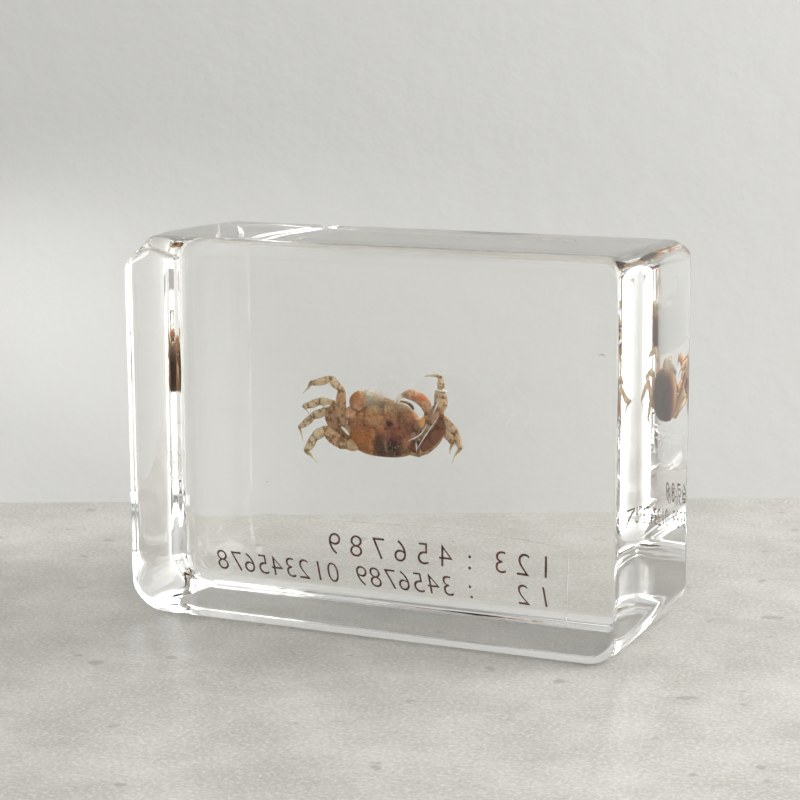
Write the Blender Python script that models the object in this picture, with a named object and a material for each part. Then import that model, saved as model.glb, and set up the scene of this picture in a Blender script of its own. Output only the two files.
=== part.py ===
"""A dried sand bubbler crab cast in a clear resin block, with a printed film sealed in below it.

Units are metres. +X runs along the block's width, +Y from its front face to its back face and
+Z up. The origin is the middle of the footprint, on the surface that the block stands on.
The block was poured in two layers, with the crab in the back one and the film laid on it where
the pour stopped, so the clear solid is parted there.
"""

import math

import bmesh
import bpy
from mathutils import Matrix, Vector

MM = 0.001

# Block
BLOCK_WIDTH = 76.8 * MM
BLOCK_DEPTH = 31.0 * MM
BLOCK_HEIGHT = 55.0 * MM
# The four edges that run from front to back: bottom right, top right, top left, bottom left
CORNER_RADII = (5.0 * MM, 2.8 * MM, 4.6 * MM, 5.0 * MM)
SHRUNK_CORNER = 0.6 * MM  # least corner radius left where a rim narrows the outline
# Rims of the front and back faces on the right, top, left and bottom side: how far each
# reaches in over the face, how far along the side, and its curve, where 2 is an ellipse's and
# more is fuller
FRONT_RIMS = ((0.8 * MM, 6.8 * MM, 2.0), (2.6 * MM, 2.6 * MM, 2.0),
              (8.6 * MM, 0.8 * MM, 1.95), (2.6 * MM, 2.6 * MM, 2.0))
BACK_RIMS = ((1.95 * MM, 0.8 * MM, 2.4), (3.2 * MM, 3.2 * MM, 2.0),
             (3.95 * MM, 4.75 * MM, 2.6), (2.6 * MM, 3.2 * MM, 2.0))
LEFT_CROWN_RADIUS = 79.0 * MM  # the left face is gently crowned from front to back
LEFT_CROWN_Y = 2.3 * MM  # depth at which it stands out most
MOULD_DRAFT = 0.5 * MM  # how much the right side and the top draw in towards the back
DRAFT_FROM_Y = FRONT_RIMS[0][1] - BLOCK_DEPTH / 2
CORNER_SEGMENTS = 8
RIM_SEGMENTS = 6
SIDE_SEGMENTS = 7
SHARP_ANGLE = math.radians(35)  # edges bent more than this stay crisp

# Pour line between the two layers, and the gap that touching pieces keep
POUR_LINE_Y = -8.3 * MM
GAP = 0.3 * MM

# Film with the print
FILM_WIDTH = 58.0 * MM
FILM_HEIGHT = 10.6 * MM
FILM_THICKNESS = 0.25 * MM
FILM_CENTRE_X = 0.5 * MM
FILM_CENTRE_Z = 9.9 * MM
FILM_TURN = math.radians(1.5)  # its right end sits a little low

# Crab, measured from the middle of its body
CRAB_CENTRE = Vector((0.7, -2.2, 28.6)) * MM
BODY_HALF_WIDTH = 5.8 * MM
BODY_HALF_LENGTH = 4.1 * MM
BACK_DOME = 3.1 * MM  # carapace above the body's middle plane, towards +Y
BELLY_DEPTH = 2.5 * MM  # underside below it, towards -Y
BODY_WIDTH_POWER = 0.92  # below 1 fills out the corners of the carapace
BODY_DEPTH_POWER = 0.7
BODY_FRONT_FLARE = 0.05  # the front half is this much wider than the rear
BODY_RINGS = 12
BODY_SIDES = 22
LIMB_SIDES = 8

# Pocket around the crab, open at the pour line
POCKET_MARGIN = 1.2 * MM
POCKET_CORNER = 5.0 * MM
POCKET_RIM = 2.5 * MM
CRAB_REACH_LEFT = 14.1 * MM
CRAB_REACH_RIGHT = 12.9 * MM
CRAB_REACH_REAR = 6.2 * MM
CRAB_REACH_FRONT = 8.9 * MM
CRAB_REACH_BACK = 3.4 * MM

# Joints of each walking leg in millimetres from the body's middle: hip, start of the long
# joint, knee, wrist, ankle and claw tip. Left and right are as seen from the front face.
LEG_JOINTS = {
    "left_1": ((-4.0, -0.6, -0.8), (-6.1, -1.1, -0.3), (-6.2, -1.3, 5.2),
               (-7.9, -1.2, 6.7), (-11.2, -1.2, 5.8), (-12.5, -1.0, 4.2)),
    "left_2": ((-4.2, -0.4, -1.3), (-6.9, -0.3, -0.9), (-7.8, -0.4, 3.1),
               (-9.9, -0.5, 3.3), (-12.5, -0.6, 2.3), (-11.5, -0.8, 1.1)),
    "left_3": ((-4.3, 0.0, -1.8), (-7.2, 0.6, -1.5), (-9.2, 0.7, 2.1),
               (-11.4, 0.6, 0.9), (-13.6, 0.5, -0.9), (-13.0, 0.2, -2.8)),
    "left_4": ((-3.9, -0.9, -2.4), (-5.5, -1.0, -2.8), (-9.1, -1.0, -0.6),
               (-10.7, -1.1, -1.8), (-12.1, -1.2, -4.1), (-10.1, -1.3, -5.7)),
    "right_1": ((4.0, -0.7, -0.7), (5.7, -1.7, -0.7), (8.8, -3.0, 5.3),
                (9.4, -3.4, 6.4), (9.5, -3.7, 8.3), (7.2, -3.9, 8.2)),
    "right_2": ((4.2, -0.4, -1.3), (5.4, -0.9, -1.7), (9.3, -1.9, 3.2),
                (9.8, -2.1, 5.7), (9.7, 0.2, 4.2), (9.3, 1.5, 2.6)),
    "right_3": ((4.3, -1.1, -1.9), (5.9, -1.7, -2.5), (10.0, -2.5, 2.3),
                (11.7, -2.8, 0.5), (12.4, -3.0, -1.6), (11.1, -3.2, -3.9)),
    "right_4": ((3.9, -0.2, -2.5), (5.4, -0.5, -3.1), (9.2, -0.9, 0.9),
                (10.5, -1.2, -0.6), (10.1, 0.8, -1.6), (9.5, 1.7, -3.2)),
}
# Where a joint's rings are, as shares of its length, and how much it swells at each
JOINT_PROFILE = ((0.08, 0.72), (0.35, 1.0), (0.85, 0.86))
# Half width and half thickness of a leg's joints in millimetres, hip first
LEG_HALF_SIZES = ((0.75, 0.6), (0.8, 0.42), (0.6, 0.42), (0.52, 0.36), (0.2, 0.17))
LEG_BREADTH = {"left_4": 1.2}  # legs broader than the rest

CLAW_ARMS = {
    "left": ((-2.4, -1.0, 0.6), (-4.3, -1.9, 1.9), (-3.8, -2.4, 3.5), (-2.5, -2.9, 4.6)),
    "right": ((2.6, -1.0, 0.4), (6.2, -1.9, 2.4), (6.6, -2.3, 4.5), (4.7, -2.7, 5.4)),
}
CLAW_HALF_SIZES = ((0.85, 0.8), (0.95, 0.85), (0.9, 0.8))
PALM_END_HALF_SIZE = 0.5
CLAW_FINGERS = {
    "left_fixed": ((-2.9, -2.8, 4.5), (-1.8, -3.0, 5.4), (-0.8, -3.2, 5.5)),
    "left_moving": ((-3.0, -2.9, 4.0), (-1.9, -3.5, 4.3), (-0.7, -3.6, 4.8)),
    "right_fixed": ((5.1, -2.6, 5.3), (3.8, -2.9, 5.3), (2.7, -3.1, 4.3)),
    "right_moving": ((5.2, -2.8, 4.8), (4.0, -3.4, 4.6), (3.1, -3.5, 3.8)),
}
FINGER_HALF_SIZE = 0.42
FINGER_BEND = (0.8, 0.7)  # share of that width and thickness left at the bend
TIP_HALF_SIZE = 0.07

# Eyestalks folded back along the front edge: point and half size in millimetres, right side
EYESTALK = (((0.7, 0.7, 3.7), 0.28), ((2.5, 1.0, 3.75), 0.28), ((3.5, 0.95, 3.3), 0.42),
            ((4.2, 0.9, 2.7), 0.25))

# Plates that cover the mouth: middle and half sizes in millimetres, right side
MOUTH_PLATE = ((1.3, -1.95, 1.9), (1.2, 0.95, 1.75))

# Somites of the tail flap folded under the body: half width and length in millimetres
TAIL_SOMITES = ((2.1, 0.75), (1.9, 0.75), (1.6, 0.7), (1.3, 0.7), (0.95, 0.8), (0.6, 0.75))
TAIL_START_Z = -3.75
TAIL_BED_HALF_LENGTH = 4.6  # of the oval that the flap lies along
TAIL_SECTION = ((-1, 0.5), (-0.85, -0.32), (0.85, -0.32), (1, 0.5))  # across: share, millimetres


def clear_scene():
    """Removes whatever the scene holds."""
    for old in list(bpy.data.objects):
        bpy.data.objects.remove(old, do_unlink=True)


def linear(hex_colour):
    """An sRGB hex colour as the linear values that a material takes."""
    values = [int(hex_colour[i:i + 2], 16) / 255 for i in (1, 3, 5)]
    return [v / 12.92 if v <= 0.04045 else ((v + 0.055) / 1.055) ** 2.4 for v in values] + [1.0]


def make_material(name, hex_colour, roughness, transmission=0.0, ior=1.5):
    """A Principled material with the part's colour and finish."""
    material = bpy.data.materials.new(name)
    material.use_nodes = True
    shader = material.node_tree.nodes["Principled BSDF"]
    shader.inputs["Base Color"].default_value = linear(hex_colour)
    shader.inputs["Roughness"].default_value = roughness
    shader.inputs["Metallic"].default_value = 0.0
    shader.inputs["Transmission Weight"].default_value = transmission
    shader.inputs["IOR"].default_value = ior
    return material


def make_object(name, mesh, material=None, location=(0, 0, 0), parent=None):
    """An object in the scene, shaded smooth with its real edges kept sharp."""
    obj = bpy.data.objects.new(name, mesh)
    bpy.context.scene.collection.objects.link(obj)
    obj.location = location
    obj.parent = parent
    if material is not None:
        mesh.materials.clear()
        mesh.materials.append(material)
    mesh.shade_smooth()
    mesh.set_sharp_from_angle(angle=SHARP_ANGLE)
    return obj


def mesh_from(bm, name):
    """Turns a bmesh with outward faces into a mesh."""
    bmesh.ops.recalc_face_normals(bm, faces=bm.faces)
    mesh = bpy.data.meshes.new(name)
    bm.to_mesh(mesh)
    bm.free()
    return mesh


def bevel(bm, edges, radius, segments):
    """Rounds the given edges."""
    bmesh.ops.bevel(bm, geom=edges, offset=radius, offset_type="OFFSET", segments=segments,
                    profile=0.5, affect="EDGES", clamp_overlap=False)


def edges_on_plane(bm, y):
    """Edges that lie in the plane at this depth."""
    near = 0.01 * MM
    return [e for e in bm.edges if all(abs(v.co.y - y) < near for v in e.verts)]


def rounded_slab(low, high, corner, back_rim):
    """A box with its front-to-back edges rounded, and then the rim of its back face."""
    bm = bmesh.new()
    size = Vector(high) - Vector(low)
    middle = (Vector(high) + Vector(low)) / 2
    bmesh.ops.create_cube(bm, size=1.0, matrix=Matrix.Translation(middle) @ Matrix.Diagonal((*size, 1)))
    deep = [e for e in bm.edges if abs(e.verts[0].co.y - e.verts[1].co.y) > size.y / 2]
    bevel(bm, deep, corner, CORNER_SEGMENTS)
    bevel(bm, edges_on_plane(bm, high[1]), back_rim, RIM_SEGMENTS)
    return bm


def rim_place(rims, turn):
    """Insets and depths of a rim on the four sides, turned from the sides (0) to the face (1)."""
    angle = turn * math.pi / 2
    insets = [inset * (1 - math.cos(angle) ** (2 / curve)) for inset, _, curve in rims]
    depths = [BLOCK_DEPTH / 2 - reach * (1 - math.sin(angle) ** (2 / curve))
              for _, reach, curve in rims]
    return insets, depths


def outside_point(x, y, z):
    """A point of the straight block, carried onto the crowned left face and the drawn sides."""
    drawn = max(0.0, y - DRAFT_FROM_Y) / (BLOCK_DEPTH / 2 - DRAFT_FROM_Y)
    if x < 0:
        x += (y - LEFT_CROWN_Y) ** 2 / (2 * LEFT_CROWN_RADIUS)
    else:
        x *= 1 - drawn * MOULD_DRAFT / (BLOCK_WIDTH / 2)
    return Vector((x, y, z * (1 - drawn * MOULD_DRAFT / BLOCK_HEIGHT)))


def block_ring(bm, insets, depths):
    """One ring of the block's outside, with its inset and depth on each of the four sides."""
    right, top, left, bottom = insets
    ends = ((BLOCK_WIDTH / 2 - right, bottom, 1, -1),
            (BLOCK_WIDTH / 2 - right, BLOCK_HEIGHT - top, 1, 1),
            (left - BLOCK_WIDTH / 2, BLOCK_HEIGHT - top, -1, 1),
            (left - BLOCK_WIDTH / 2, bottom, -1, -1))
    ring_verts = []
    for corner, (x, z, side_x, side_z) in enumerate(ends):
        across_side, up_side = (0 if side_x > 0 else 2), (1 if side_z > 0 else 3)
        shrink = max(insets[across_side], insets[up_side])
        radius = max(SHRUNK_CORNER, CORNER_RADII[corner] - shrink)
        for step in range(CORNER_SEGMENTS + 1):
            bend = math.radians(90 * (corner - 1 + step / CORNER_SEGMENTS))
            across, up = math.cos(bend), math.sin(bend)
            depth = across ** 2 * depths[across_side] + up ** 2 * depths[up_side]
            point = outside_point(x - side_x * radius + radius * across, depth,
                                  z - side_z * radius + radius * up)
            ring_verts.append(bm.verts.new(point))
    return ring_verts


def whole_block():
    """The block's outside: a rounded outline carried over the front rim, sides and back rim."""
    bm = bmesh.new()
    turns = [step / RIM_SEGMENTS for step in range(RIM_SEGMENTS + 1)]
    rings = []
    for turn in reversed(turns):
        insets, depths = rim_place(FRONT_RIMS, turn)
        rings.append(block_ring(bm, insets, [-depth for depth in depths]))
    _, front_depths = rim_place(FRONT_RIMS, 0)
    _, back_depths = rim_place(BACK_RIMS, 0)
    for step in range(1, SIDE_SEGMENTS):
        share = step / SIDE_SEGMENTS
        depths = [back * share - front * (1 - share)
                  for front, back in zip(front_depths, back_depths)]
        rings.append(block_ring(bm, (0, 0, 0, 0), depths))
    for turn in turns:
        insets, depths = rim_place(BACK_RIMS, turn)
        rings.append(block_ring(bm, insets, depths))
    bm.faces.new(rings[0])
    bm.faces.new(reversed(rings[-1]))
    for lower, upper in zip(rings, rings[1:]):
        bridge(bm, lower, upper)
    bmesh.ops.recalc_face_normals(bm, faces=bm.faces)
    return bm


def block_layer(y_from, y_to):
    """The part of the whole rounded block between two depths."""
    bm = whole_block()
    for y, normal in ((y_from, (0, -1, 0)), (y_to, (0, 1, 0))):
        if -BLOCK_DEPTH / 2 < y < BLOCK_DEPTH / 2:
            everything = bm.verts[:] + bm.edges[:] + bm.faces[:]
            cut = bmesh.ops.bisect_plane(bm, geom=everything, plane_co=(0, y, 0),
                                         plane_no=normal, clear_outer=True)
            rim = [e for e in cut["geom_cut"] if isinstance(e, bmesh.types.BMEdge)]
            bmesh.ops.contextual_create(bm, geom=rim)
    return bm


def make_cutter(name, bm, parent, location=(0, 0, 0), turn=0.0):
    """A guide shape that cuts another and isn't part of the object."""
    cutter = make_object(name, mesh_from(bm, name), location=location, parent=parent)
    cutter.rotation_euler = (0, turn, 0)
    cutter.hide_render = True
    cutter.display_type = "WIRE"
    return cutter


def cut(obj, cutter):
    """Subtracts a guide shape."""
    modifier = obj.modifiers.new("cut", "BOOLEAN")
    modifier.operation = "DIFFERENCE"
    modifier.solver = "EXACT"
    modifier.object = cutter


def crab_pocket(parent):
    """The hollow that the crab sits in, run past the pour line so that it cuts clean."""
    reach = POCKET_MARGIN
    low = (CRAB_CENTRE.x - CRAB_REACH_LEFT - reach, POUR_LINE_Y - reach,
           CRAB_CENTRE.z - CRAB_REACH_REAR - reach)
    high = (CRAB_CENTRE.x + CRAB_REACH_RIGHT + reach, CRAB_CENTRE.y + CRAB_REACH_BACK + reach,
            CRAB_CENTRE.z + CRAB_REACH_FRONT + reach)
    return make_cutter("crab_pocket", rounded_slab(low, high, POCKET_CORNER, POCKET_RIM), parent)


def film_plate(grow, front_y, back_y):
    """The film's rectangle between two depths, grown on all four sides."""
    half_width = FILM_WIDTH / 2 + grow
    half_height = FILM_HEIGHT / 2 + grow
    bm = bmesh.new()
    size = (2 * half_width, back_y - front_y, 2 * half_height)
    place = Matrix.Translation((0, (front_y + back_y) / 2, 0)) @ Matrix.Diagonal((*size, 1))
    bmesh.ops.create_cube(bm, size=1.0, matrix=place)
    return bm


def film_recess(parent):
    """The shallow bed that the film lies in, sunk into the back layer's face."""
    floor_y = POUR_LINE_Y + GAP / 2 + GAP + FILM_THICKNESS
    return make_cutter("film_recess", film_plate(GAP, POUR_LINE_Y - GAP, floor_y), parent,
                       (FILM_CENTRE_X, 0, FILM_CENTRE_Z), FILM_TURN)


def make_block(parent, resin):
    """Both clear layers, with the pocket and the film's bed in the back one."""
    front = block_layer(-BLOCK_DEPTH, POUR_LINE_Y - GAP / 2)
    make_object("resin_front_layer", mesh_from(front, "resin_front_layer"), resin, parent=parent)
    back = block_layer(POUR_LINE_Y + GAP / 2, BLOCK_DEPTH)
    layer = make_object("resin_back_layer", mesh_from(back, "resin_back_layer"), resin,
                        parent=parent)
    cut(layer, crab_pocket(parent))
    cut(layer, film_recess(parent))


def make_film(parent, film):
    """The clear film, a hair inside its bed."""
    front_y = POUR_LINE_Y + GAP / 2
    bm = film_plate(0.0, front_y, front_y + FILM_THICKNESS)
    plate = make_object("label_film", mesh_from(bm, "label_film"), film,
                        (FILM_CENTRE_X, 0, FILM_CENTRE_Z), parent)
    plate.rotation_euler = (0, FILM_TURN, 0)


def ring(bm, centre, along, half_width, half_thickness, sides):
    """An oval ring of vertices square to a direction, its thin way nearest to front-to-back."""
    along = along.normalized()
    wide = along.cross(Vector((0, 1, 0))).normalized()
    thin = wide.cross(along).normalized()
    angles = [2 * math.pi * i / sides for i in range(sides)]
    return [bm.verts.new(centre + wide * half_width * math.cos(a) + thin * half_thickness * math.sin(a))
            for a in angles]


def bridge(bm, lower, upper):
    """Faces between two rings."""
    count = len(lower)
    for i in range(count):
        k = (i + 1) % count
        bm.faces.new((lower[i], lower[k], upper[k], upper[i]))


def tube(stations, sides=LIMB_SIDES):
    """A closed limb through stations of (point, half width, half thickness) in millimetres."""
    bm = bmesh.new()
    points = [Vector(s[0]) * MM for s in stations]
    rings = []
    for i, (_, half_width, half_thickness) in enumerate(stations):
        along = points[min(i + 1, len(points) - 1)] - points[max(i - 1, 0)]
        rings.append(ring(bm, points[i], along, half_width * MM, half_thickness * MM, sides))
    for lower, upper in zip(rings, rings[1:]):
        bridge(bm, lower, upper)
    bm.faces.new(rings[0][::-1])
    bm.faces.new(rings[-1])
    bmesh.ops.triangulate(bm, faces=bm.faces)
    return bm


def between(a, b, share):
    """The point this share of the way from a to b."""
    return tuple(p + (q - p) * share for p, q in zip(a, b))


def jointed_stations(joints, half_sizes, tip=None):
    """Stations along a limb: each joint swells in its middle and pinches where it bends."""
    stations = []
    for (start, end), (width, thickness) in zip(zip(joints, joints[1:]), half_sizes):
        for share, swell in JOINT_PROFILE:
            stations.append((between(start, end, share), width * swell, thickness * swell))
    if tip:
        stations.append((joints[-1], tip, tip))
    return stations


def make_leg(name):
    """One walking leg from its hip to its claw tip."""
    breadth = LEG_BREADTH.get(name, 1.0)
    half_sizes = [(width * breadth, thickness) for width, thickness in LEG_HALF_SIZES]
    return tube(jointed_stations(LEG_JOINTS[name], half_sizes, TIP_HALF_SIZE))


def make_eyestalk(side):
    """One eyestalk, with its eye at the end: side is -1 on the left and 1 on the right."""
    return tube([((side * x, y, z), half, half) for (x, y, z), half in EYESTALK])


def make_claw_arm(joints):
    """The arm and the palm of one claw."""
    return tube(jointed_stations(joints, CLAW_HALF_SIZES, PALM_END_HALF_SIZE))


def make_finger(points):
    """One curved finger of a claw."""
    root, middle, tip = points
    width, thickness = (FINGER_HALF_SIZE * share for share in FINGER_BEND)
    return tube(((root, FINGER_HALF_SIZE, FINGER_HALF_SIZE), (middle, width, thickness),
                 (tip, TIP_HALF_SIZE, TIP_HALF_SIZE)))


def make_body():
    """The carapace and underside: wide, short and domed, flatter below than above."""
    bm = bmesh.new()
    rings = []
    for i in range(1, BODY_RINGS):
        angle = math.pi * i / BODY_RINGS
        length = -math.cos(angle)  # -1 at the rear, 1 at the front
        swell = math.sin(angle)
        half_width = BODY_HALF_WIDTH * swell ** BODY_WIDTH_POWER * (1 + BODY_FRONT_FLARE * length)
        loop = []
        for j in range(BODY_SIDES):
            turn = 2 * math.pi * (j + 0.5) / BODY_SIDES
            depth = BACK_DOME if math.sin(turn) > 0 else BELLY_DEPTH
            x = half_width * math.cos(turn)
            y = depth * swell ** BODY_DEPTH_POWER * math.sin(turn)
            loop.append(bm.verts.new((x, y, BODY_HALF_LENGTH * length)))
        rings.append(loop)
    for lower, upper in zip(rings, rings[1:]):
        bridge(bm, lower, upper)
    for loop, side in ((rings[0], -1), (rings[-1], 1)):
        pole = bm.verts.new((0, 0, side * BODY_HALF_LENGTH))
        for j in range(BODY_SIDES):
            bm.faces.new((loop[j], loop[(j + 1) % BODY_SIDES], pole))
    bmesh.ops.triangulate(bm, faces=bm.faces)
    return bm


def lump(centre, half_sizes, segments=10, rings=7):
    """A rounded swelling with its middle and half sizes in millimetres."""
    bm = bmesh.new()
    place = Matrix.Translation(Vector(centre) * MM) @ Matrix.Diagonal((*(Vector(half_sizes) * MM), 1))
    bmesh.ops.create_uvsphere(bm, u_segments=segments, v_segments=rings, radius=1.0, matrix=place)
    return bm


def make_tail_flap():
    """The tail, folded forward under the body and stepped at each somite."""
    bm = bmesh.new()
    rings = []
    z = TAIL_START_Z
    for half_width, length in TAIL_SOMITES:
        for share, swell in ((0.1, 1.0), (0.9, 0.9)):
            level = z + length * share
            bed = -BELLY_DEPTH / MM * math.sqrt(1 - (level / TAIL_BED_HALF_LENGTH) ** 2)
            rings.append([bm.verts.new(Vector((half_width * swell * across, bed + raised * swell,
                                               level)) * MM)
                          for across, raised in TAIL_SECTION])
        z += length
    for lower, upper in zip(rings, rings[1:]):
        bridge(bm, lower, upper)
    bm.faces.new(rings[0][::-1])
    bm.faces.new(rings[-1])
    bmesh.ops.triangulate(bm, faces=bm.faces)
    return bm


def crab_shapes():
    """Everything that the crab is grown from, each as its own overlapping closed shape."""
    shapes = [make_body(), make_tail_flap()]
    (x, y, z), plate_half_sizes = MOUTH_PLATE
    for side in (-1, 1):
        shapes.append(lump((side * x, y, z), plate_half_sizes))
        shapes.append(make_eyestalk(side))
    shapes.extend(make_leg(name) for name in LEG_JOINTS)
    shapes.extend(make_claw_arm(joints) for joints in CLAW_ARMS.values())
    shapes.extend(make_finger(points) for points in CLAW_FINGERS.values())
    return shapes


def make_crab(parent, shell):
    """The dried crab, grown together into one piece."""
    first, *others = crab_shapes()
    crab = make_object("crab", mesh_from(first, "crab"), shell, CRAB_CENTRE, parent)
    for i, bm in enumerate(others):
        grown = make_object(f"crab_growth_{i}", mesh_from(bm, f"crab_growth_{i}"),
                            location=CRAB_CENTRE, parent=parent)
        grown.hide_render = True
        grown.display_type = "WIRE"
        join = crab.modifiers.new(f"join_{i}", "BOOLEAN")
        join.operation = "UNION"
        join.solver = "EXACT"
        join.object = grown


def build():
    """Builds the whole object."""
    clear_scene()
    footprint = bpy.data.objects.new("footprint", None)
    bpy.context.scene.collection.objects.link(footprint)
    resin = make_material("clear_cast_resin", "#F6F6F2", 0.02, transmission=1.0)
    film = make_material("clear_printed_film", "#EDEDE8", 0.1, transmission=0.9)
    shell = make_material("dried_crab_shell", "#9A6A42", 0.45)
    make_block(footprint, resin)
    make_film(footprint, film)
    make_crab(footprint, shell)


build()
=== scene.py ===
import math

import bmesh
import bpy
from mathutils import Matrix, Quaternion, Vector, noise


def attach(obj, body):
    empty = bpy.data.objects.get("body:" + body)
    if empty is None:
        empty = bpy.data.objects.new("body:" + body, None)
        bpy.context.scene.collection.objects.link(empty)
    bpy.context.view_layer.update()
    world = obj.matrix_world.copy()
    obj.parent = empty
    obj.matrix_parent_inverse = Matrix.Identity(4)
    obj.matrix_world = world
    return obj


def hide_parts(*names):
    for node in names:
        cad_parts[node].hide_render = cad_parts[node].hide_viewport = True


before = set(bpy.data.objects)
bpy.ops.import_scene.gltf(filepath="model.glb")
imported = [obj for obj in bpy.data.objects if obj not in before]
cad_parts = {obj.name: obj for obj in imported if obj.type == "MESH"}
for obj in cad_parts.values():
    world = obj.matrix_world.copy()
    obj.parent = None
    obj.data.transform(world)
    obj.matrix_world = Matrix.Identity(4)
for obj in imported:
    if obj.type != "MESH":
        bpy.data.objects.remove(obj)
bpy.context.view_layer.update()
mm = 0.001


def toLinear(hexColour):
    parts = [int(hexColour[i:i + 2], 16) / 255 for i in (1, 3, 5)]
    return [v / 12.92 if v <= 0.04045 else ((v + 0.055) / 1.055) ** 2.4 for v in parts] + [1.0]


def addNode(tree, kind, inputs=None, **settings):
    node = tree.nodes.new(kind)
    for name, value in settings.items():
        setattr(node, name, value)
    for name, value in (inputs or {}).items():
        if isinstance(value, bpy.types.NodeSocket):
            tree.links.new(value, node.inputs[name])
        else:
            node.inputs[name].default_value = value
    return node


def newMaterial(name, glow=None, **values):
    # a Principled material with these values on the shader's own sockets; glow is the weight, radius and
    # scale of the light that spreads under its surface
    material = bpy.data.materials.new(name)
    material.use_nodes = True
    tree = material.node_tree
    shader = tree.nodes["Principled BSDF"]
    if glow:
        values.update(zip(("Subsurface_Weight", "Subsurface_Radius", "Subsurface_Scale"), glow))
    for socket, value in values.items():
        shader.inputs[socket.replace("_", " ")].default_value = value
    return material, tree, shader


def mixColours(tree, share, first, second):
    # first and second are hex colours or sockets, share is a number or a socket
    first, second = [toLinear(c) if isinstance(c, str) else c for c in (first, second)]
    return addNode(tree, "ShaderNodeMix", {0: share, 6: first, 7: second}, data_type="RGBA").outputs[2]


def ramp(tree, value, low, high, toLow=0.0, toHigh=1.0):
    # a smooth step of a value between two levels
    levels = {"Value": value, "From Min": low, "From Max": high, "To Min": toLow, "To Max": toHigh}
    return addNode(tree, "ShaderNodeMapRange", levels, interpolation_type="SMOOTHSTEP").outputs["Result"]


def tints(tree, base, *layers):
    # lays colours over the base one by one, each as its value passes from low to high
    for value, low, high, strength, colour in layers:
        base = mixColours(tree, ramp(tree, value, low, high, 0.0, strength), base, colour)
    return base


def maths(tree, operation, first, second=0.0):
    return addNode(tree, "ShaderNodeMath", {0: first, 1: second}, operation=operation).outputs[0]


def vectorMaths(tree, operation, first, second):
    return addNode(tree, "ShaderNodeVectorMath", {0: first, 1: second}, operation=operation).outputs[0]


def attribute(tree, name):
    return addNode(tree, "ShaderNodeAttribute", attribute_name=name).outputs["Fac"]


def objectCoords(tree):
    return addNode(tree, "ShaderNodeTexCoord").outputs["Object"]


def speckle(tree, coords, scale, detail=4.0, roughness=0.6):
    values = {"Vector": coords, "Scale": scale, "Detail": detail, "Roughness": roughness}
    return addNode(tree, "ShaderNodeTexNoise", values).outputs["Fac"]


def paint(tree, shader, colour):
    tree.links.new(colour, shader.inputs["Base Color"])


def addBump(tree, shader, height, strength, distance):
    bump = addNode(tree, "ShaderNodeBump", {"Height": height, "Strength": strength, "Distance": distance})
    tree.links.new(bump.outputs["Normal"], shader.inputs["Normal"])


def linkObject(name, data):
    thing = bpy.data.objects.new(name, data)
    bpy.context.scene.collection.objects.link(thing)
    return thing


def newPiece(name, mesh, material, slot, *nodes):
    # puts a finished mesh in the scene as a piece of the object
    piece = linkObject(name, mesh)
    mesh.materials.clear()
    mesh.materials.append(material)
    mesh.polygons.foreach_set("material_index", [0] * len(mesh.polygons))
    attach(piece, "root")
    if nodes:
        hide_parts(*nodes)
    return piece


# shapes are gathered as lists of points, faces and per-point values, in mm

def newShape():
    return {"points": [], "faces": [], "values": {}}


def addPoints(shape, points, **values):
    start = len(shape["points"])
    shape["points"].extend(points)
    for key, numbers in values.items():
        if not isinstance(numbers, list):
            numbers = [numbers] * len(points)
        kept = shape["values"].setdefault(key, [])
        kept.extend([0.0] * (start - len(kept)))
        kept.extend(numbers)
    return start


def shapeMesh(name, shape, origin=(0, 0, 0)):
    mesh = bpy.data.meshes.new(name)
    place = Vector(origin)
    mesh.from_pydata([tuple((Vector(point) + place) * mm) for point in shape["points"]], [], shape["faces"])
    closed = bmesh.new()
    closed.from_mesh(mesh)
    bmesh.ops.recalc_face_normals(closed, faces=closed.faces)  # every shape here is a closed one
    closed.to_mesh(mesh)
    closed.free()
    for key, numbers in shape["values"].items():
        numbers.extend([0.0] * (len(shape["points"]) - len(numbers)))
        layer = mesh.attributes.new(key, "FLOAT", "POINT")
        layer.data.foreach_set("value", numbers)
    mesh.shade_smooth()
    return mesh


def bridgeAll(shape, rings, count):
    for lower, upper in zip(rings, rings[1:]):
        for i in range(count):
            k = (i + 1) % count
            shape["faces"].append((lower + i, lower + k, upper + k, upper + i))


def closeTube(shape, first, rings, last, count):
    # bridges the rings and draws the outer two together on a point each
    bridgeAll(shape, rings, count)
    for pole, ring in ((first, rings[0]), (last, rings[-1])):
        for i in range(count):
            shape["faces"].append((pole, ring + i, ring + (i + 1) % count))


def ease(share):
    share = max(0.0, min(1.0, share))
    return share * share * (3 - 2 * share)


def levelAt(profile, share):
    # a value read from (share, value) pairs, eased between them
    for (s0, v0), (s1, v1) in zip(profile, profile[1:]):
        if share <= s1:
            return v0 + (v1 - v0) * ease((share - s0) / (s1 - s0))
    return profile[-1][1]


def curvePoint(points, share):
    # a smooth curve through the points
    points = [Vector(p) for p in points]
    if len(points) == 2:
        return points[0].lerp(points[1], share)
    spans = len(points) - 1
    index = min(int(share * spans), spans - 1)
    t = share * spans - index
    p1, p2 = points[index], points[index + 1]
    p0 = points[index - 1] if index else p1 * 2 - p2
    p3 = points[index + 2] if index + 2 <= spans else p2 * 2 - p1
    return (p1 * 2 + (p2 - p0) * t + (p0 * 2 - p1 * 5 + p2 * 4 - p3) * t ** 2
            + (p1 * 3 - p0 - p2 * 3 + p3) * t ** 3) / 2


limbSquareness = 2.4  # of a limb's cross section, where 2 is an ellipse
lookAhead = 0.02      # share of a curve over which its direction is read


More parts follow.
